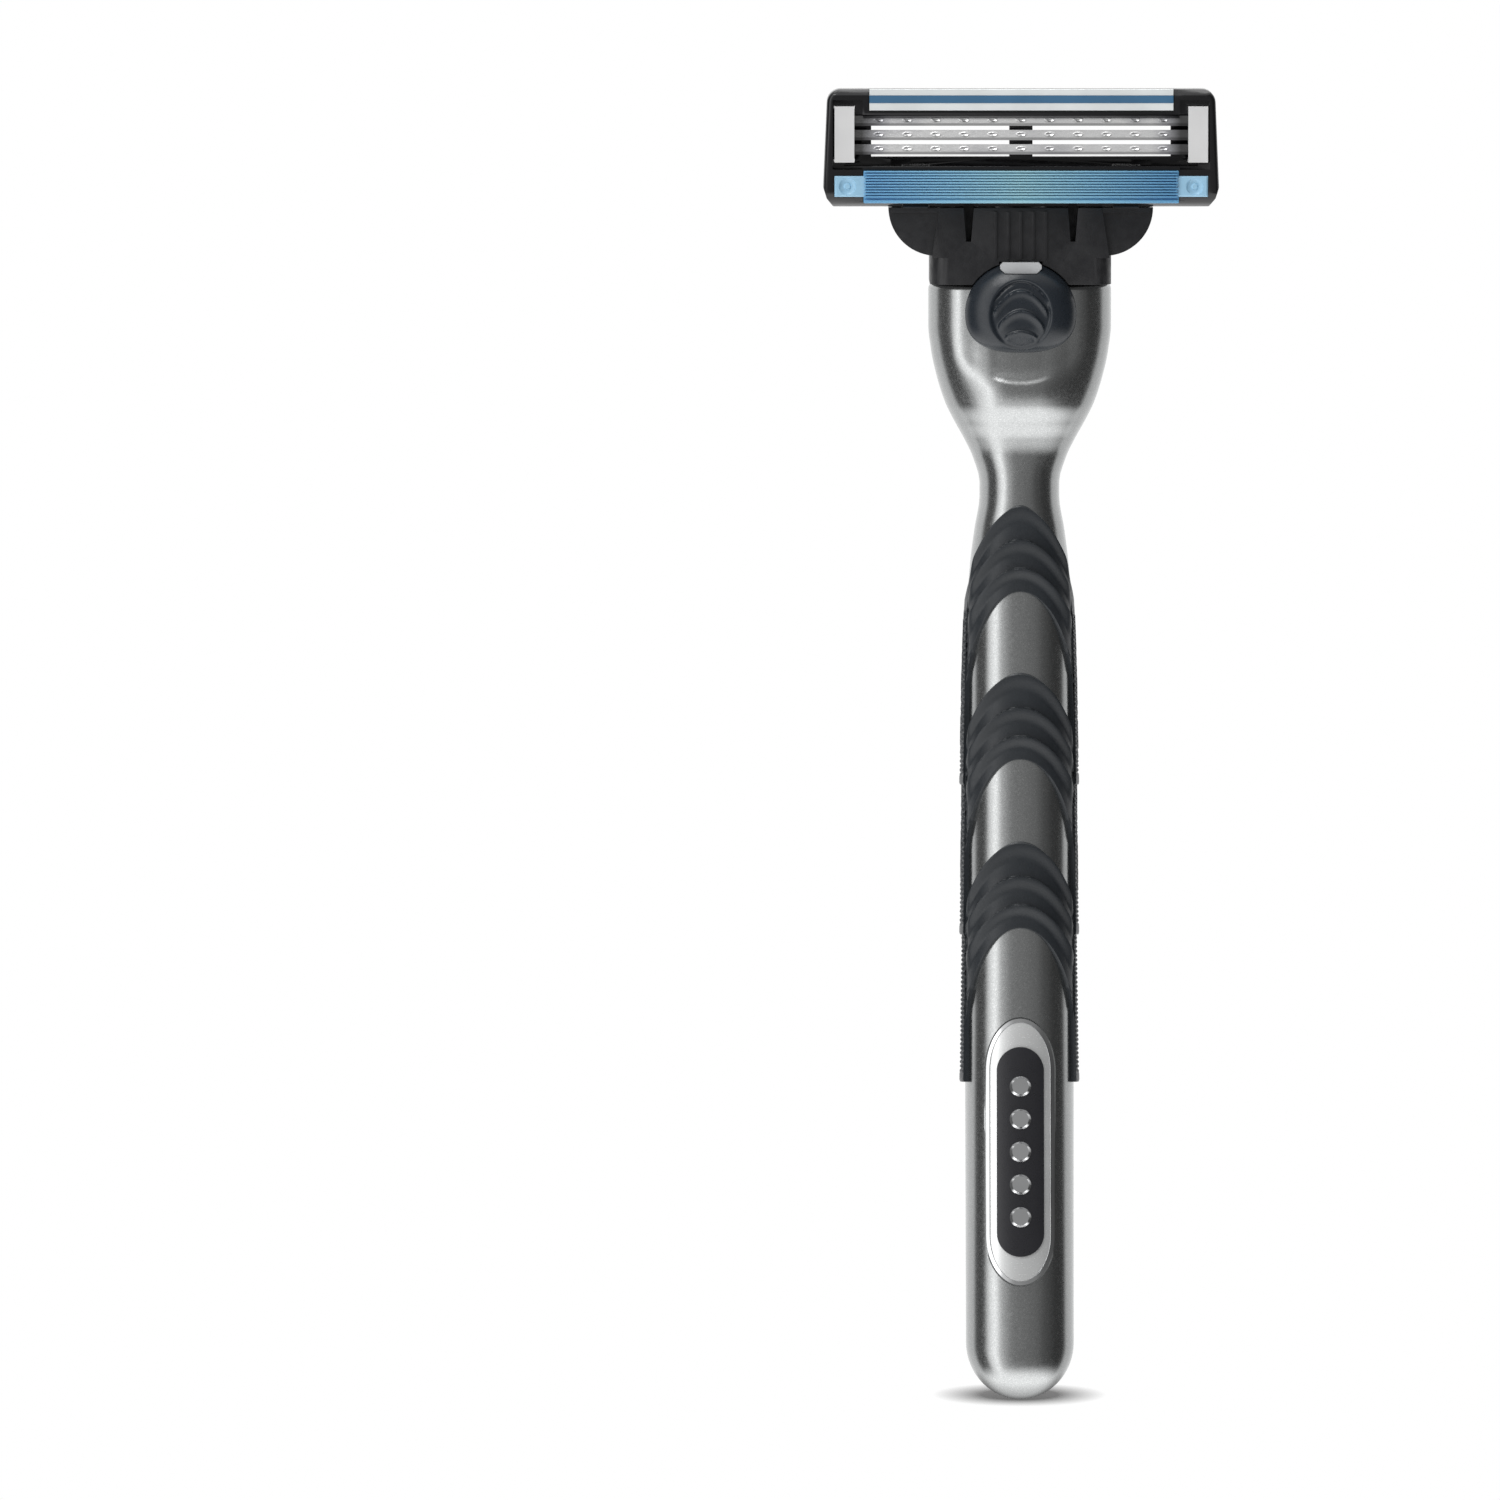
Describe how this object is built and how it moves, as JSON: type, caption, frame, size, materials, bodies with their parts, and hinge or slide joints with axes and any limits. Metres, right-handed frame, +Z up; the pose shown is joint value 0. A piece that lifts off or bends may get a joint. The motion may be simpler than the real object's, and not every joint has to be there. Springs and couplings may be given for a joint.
{
  "type": "cartridge razor",
  "caption": "Wet shaving razor: a slim metal handle with rubber grips and a push-button ejector, carrying a spring-loaded pivoting cartridge with floating steel blades and a finned guard.",
  "frame": {"origin": "lowest point of the handle's rounded end, on the plane of symmetry", "axes": "+Z up the handle towards the cartridge, +X across the width, -Y is the side that the blades, the button and the badge face"},
  "size_m": [0.041, 0.0202, 0.1359],
  "materials": {
    "satin_metal": "satin nickel with a fine sparkle",
    "grip_rubber": "matt moulded rubber",
    "badge_chrome": "polished",
    "badge_silver": "satin",
    "badge_dark": "semi-gloss",
    "inner_plastic": "moulded",
    "light_plastic": "moulded",
    "button_rubber": "satin moulded rubber",
    "spring_steel": "drawn wire",
    "connector_plastic": "fine spark-eroded grain",
    "housing_plastic": "gloss",
    "clip_aluminium": "bright rolled",
    "strip_white": "waxy",
    "strip_blue": "waxy",
    "guard_elastomer": "matt elastomer",
    "blade_steel": "polished",
    "support_steel": "dark"
  },
  "bodies": {
    "handle": {"handle_shell": "satin_metal", "grip_upper": "grip_rubber", "grip_middle": "grip_rubber", "grip_lower": "grip_rubber", "badge_bezel": "badge_chrome", "badge_plate": "badge_silver", "badge_inlay": "badge_dark", "badge_emblem": "badge_chrome", "docking_nose": "inner_plastic", "button_springs": "spring_steel", "plunger_spring": "spring_steel"},
    "button": {"ejector_fork": "light_plastic", "ejector_button": "inner_plastic", "button_pad": "button_rubber"},
    "plunger": {"plunger": "inner_plastic"},
    "connector": {"connecting_member": "connector_plastic"},
    "blade_unit": {"cartridge_housing": "housing_plastic", "clip_left": "clip_aluminium", "clip_right": "clip_aluminium", "lubricating_strip": "strip_white", "strip_core": "strip_blue", "guard_fins": "guard_elastomer"},
    "blade_top": {"blade_1": "blade_steel", "blade_support_1": "support_steel"},
    "blade_middle": {"blade_2": "blade_steel", "blade_support_2": "support_steel"},
    "blade_bottom": {"blade_3": "blade_steel", "blade_support_3": "support_steel"}
  },
  "joints": [
    {"name": "button_slide", "type": "slide", "parent": "handle", "child": "button", "axis": [0, -0.0872, 0.9962], "range_m": [0, 0.005], "stiffness_N_per_m": 300, "springref_m": -0.001, "deforming": ["button_springs"]},
    {"name": "cartridge_release", "type": "slide", "parent": "handle", "child": "connector", "axis": [0, -0.0872, 0.9962], "range_m": [0, 0.005]},
    {"name": "cartridge_pivot", "type": "hinge", "parent": "connector", "child": "blade_unit", "pos_m": [0, -0.00505, 0.1257], "axis": [-1, 0, 0], "range_deg": [0, 40]},
    {"name": "plunger_slide", "type": "slide", "parent": "handle", "child": "plunger", "axis": [0, 0.0872, -0.9962], "range_m": [0, 0.0045], "stiffness_N_per_m": 100, "springref_m": -0.004, "deforming": ["plunger_spring"]},
    {"name": "blade_top_float", "type": "slide", "parent": "blade_unit", "child": "blade_top", "axis": [0, 0.9962, 0.0872], "range_m": [0, 0.00025], "stiffness_N_per_m": 1500, "springref_m": -0.0001},
    {"name": "blade_middle_float", "type": "slide", "parent": "blade_unit", "child": "blade_middle", "axis": [0, 0.9962, 0.0872], "range_m": [0, 0.00025], "stiffness_N_per_m": 1500, "springref_m": -0.0001},
    {"name": "blade_bottom_float", "type": "slide", "parent": "blade_unit", "child": "blade_bottom", "axis": [0, 0.9962, 0.0872], "range_m": [0, 0.00025], "stiffness_N_per_m": 1500, "springref_m": -0.0001}
  ],
  "couplings": [
    {"joint": "cartridge_release", "follows": "button_slide", "ratio": 1},
    {"joint": "cartridge_pivot", "follows": "plunger_slide", "rad_per_m": 155.14}
  ]
}
